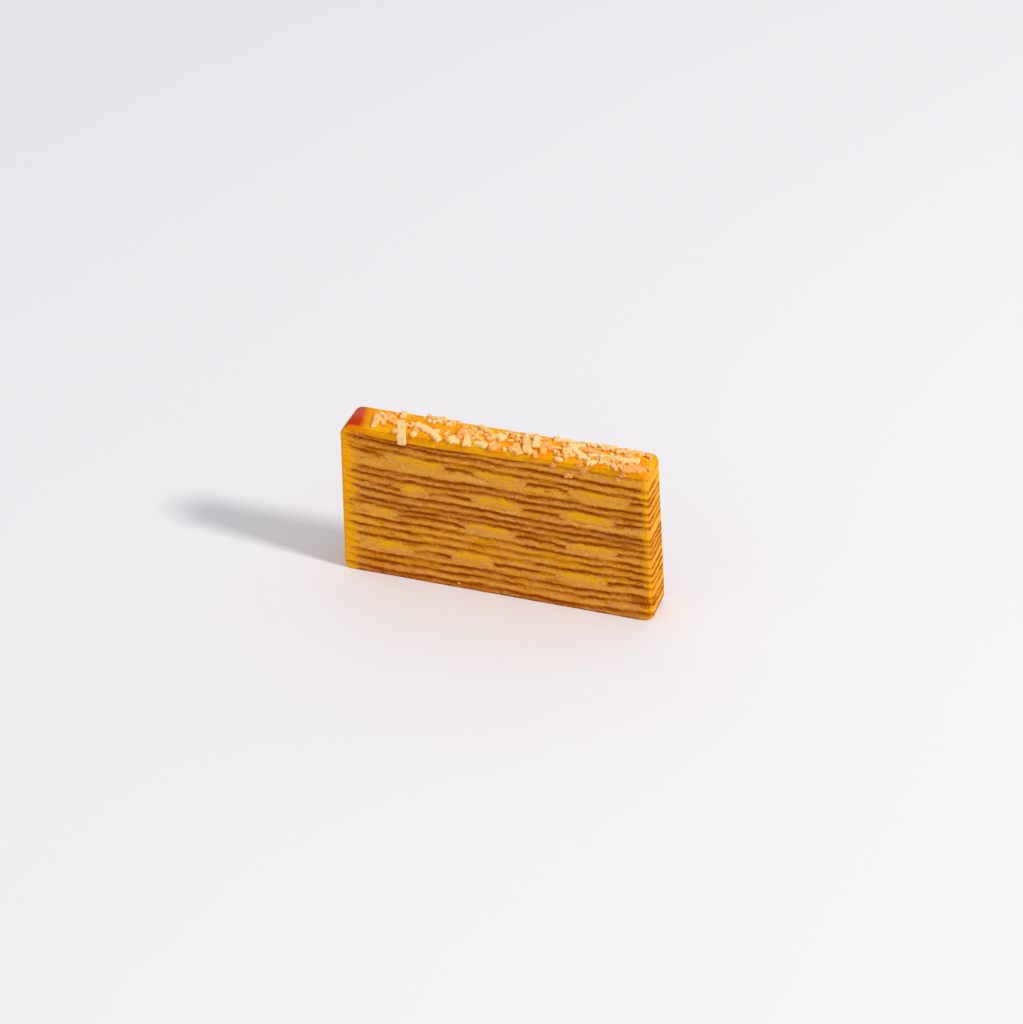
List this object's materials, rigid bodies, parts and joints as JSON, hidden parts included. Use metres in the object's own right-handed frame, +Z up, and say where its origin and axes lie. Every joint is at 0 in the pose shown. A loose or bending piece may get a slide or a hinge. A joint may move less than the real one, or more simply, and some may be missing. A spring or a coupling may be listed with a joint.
{
  "type": "slice of lapis legit",
  "caption": "Thin upright slice of many-layered butter cake: browned crumb layers, soft cheese strips between some of them and a glazed top with grated cheese fused on.",
  "frame": {"origin": "centre of the whole's bounding box at the height of the base it stands on", "axes": "+X along the slice's length towards the clean-cut end, +Y through its thickness away from the front cut face, +Z up"},
  "size_m": [0.0892, 0.013, 0.0475],
  "materials": {
    "baked_crumb": "soft moist crumb, golden tan with a thin browned skin on top of each layer",
    "cheese_strip": "smooth soft yellow cheese, slightly waxy",
    "glazed_top": "amber egg glaze, satin to glossy, with pale cream shreds of cheese"
  },
  "bodies": {
    "root": {"layer_01": "baked_crumb", "layer_02": "baked_crumb", "layer_03": "baked_crumb", "layer_04": "baked_crumb", "layer_05": "baked_crumb", "layer_06": "baked_crumb", "layer_07": "baked_crumb", "layer_08": "baked_crumb", "layer_09": "baked_crumb", "layer_10": "baked_crumb", "layer_11": "baked_crumb", "layer_12": "baked_crumb", "layer_13": "baked_crumb", "layer_14": "baked_crumb", "layer_15": "baked_crumb", "layer_16": "baked_crumb", "layer_17": "baked_crumb", "layer_18": "baked_crumb", "cheese_strip_1_1": "cheese_strip", "cheese_strip_1_2": "cheese_strip", "cheese_strip_1_3": "cheese_strip", "cheese_strip_2_1": "cheese_strip", "cheese_strip_2_2": "cheese_strip", "cheese_strip_2_3": "cheese_strip", "cheese_strip_3_1": "cheese_strip", "cheese_strip_3_2": "cheese_strip", "cheese_strip_3_3": "cheese_strip", "cheese_strip_4_1": "cheese_strip", "cheese_strip_4_2": "cheese_strip", "cheese_strip_4_3": "cheese_strip", "layer_19_glazed_top": "glazed_top"}
  },
  "joints": []
}
